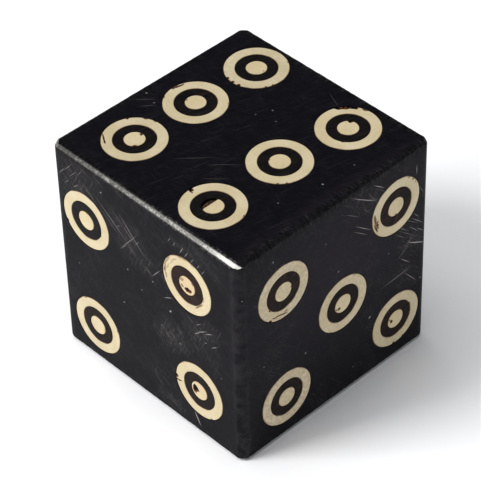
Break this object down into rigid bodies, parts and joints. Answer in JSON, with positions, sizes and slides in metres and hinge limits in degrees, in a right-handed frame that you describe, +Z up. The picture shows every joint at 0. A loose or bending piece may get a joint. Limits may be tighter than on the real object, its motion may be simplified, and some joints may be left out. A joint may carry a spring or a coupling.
{
  "type": "polyhedral die",
  "caption": "Cube die of black horn with bull's-eye pips of bone inlay, ground flush, with softly worn edges and corners.",
  "frame": {"origin": "middle of the underside, which is the face with one pip, at table height", "axes": "+Z up through the middle of the face with six pips, +X out of the face with five, -Y out of the face with four"},
  "size_m": [0.032, 0.032, 0.032],
  "materials": {
    "black_horn": "satin",
    "collar_horn": "satin",
    "ring_bone": "satin",
    "dot_bone": "satin"
  },
  "bodies": {
    "root": {"black_collars_five": "collar_horn", "black_collars_four": "collar_horn", "black_collars_one": "collar_horn", "black_collars_six": "collar_horn", "black_collars_three": "collar_horn", "black_collars_two": "collar_horn", "bone_dot_five_1": "dot_bone", "bone_dot_five_2": "dot_bone", "bone_dot_five_3": "dot_bone", "bone_dot_five_4": "dot_bone", "bone_dot_five_5": "dot_bone", "bone_dot_four_1": "dot_bone", "bone_dot_four_2": "dot_bone", "bone_dot_four_3": "dot_bone", "bone_dot_four_4": "dot_bone", "bone_dot_one_1": "dot_bone", "bone_dot_six_1": "dot_bone", "bone_dot_six_2": "dot_bone", "bone_dot_six_3": "dot_bone", "bone_dot_six_4": "dot_bone", "bone_dot_six_5": "dot_bone", "bone_dot_six_6": "dot_bone", "bone_dot_three_1": "dot_bone", "bone_dot_three_2": "dot_bone", "bone_dot_three_3": "dot_bone", "bone_dot_two_1": "dot_bone", "bone_dot_two_2": "dot_bone", "bone_ring_five_1": "ring_bone", "bone_ring_five_2": "ring_bone", "bone_ring_five_3": "ring_bone", "bone_ring_five_4": "ring_bone", "bone_ring_five_5": "ring_bone", "bone_ring_four_1": "ring_bone", "bone_ring_four_2": "ring_bone", "bone_ring_four_3": "ring_bone", "bone_ring_four_4": "ring_bone", "bone_ring_one_1": "ring_bone", "bone_ring_six_1": "ring_bone", "bone_ring_six_2": "ring_bone", "bone_ring_six_3": "ring_bone", "bone_ring_six_4": "ring_bone", "bone_ring_six_5": "ring_bone", "bone_ring_six_6": "ring_bone", "bone_ring_three_1": "ring_bone", "bone_ring_three_2": "ring_bone", "bone_ring_three_3": "ring_bone", "bone_ring_two_1": "ring_bone", "bone_ring_two_2": "ring_bone", "die_body": "black_horn"}
  },
  "joints": []
}
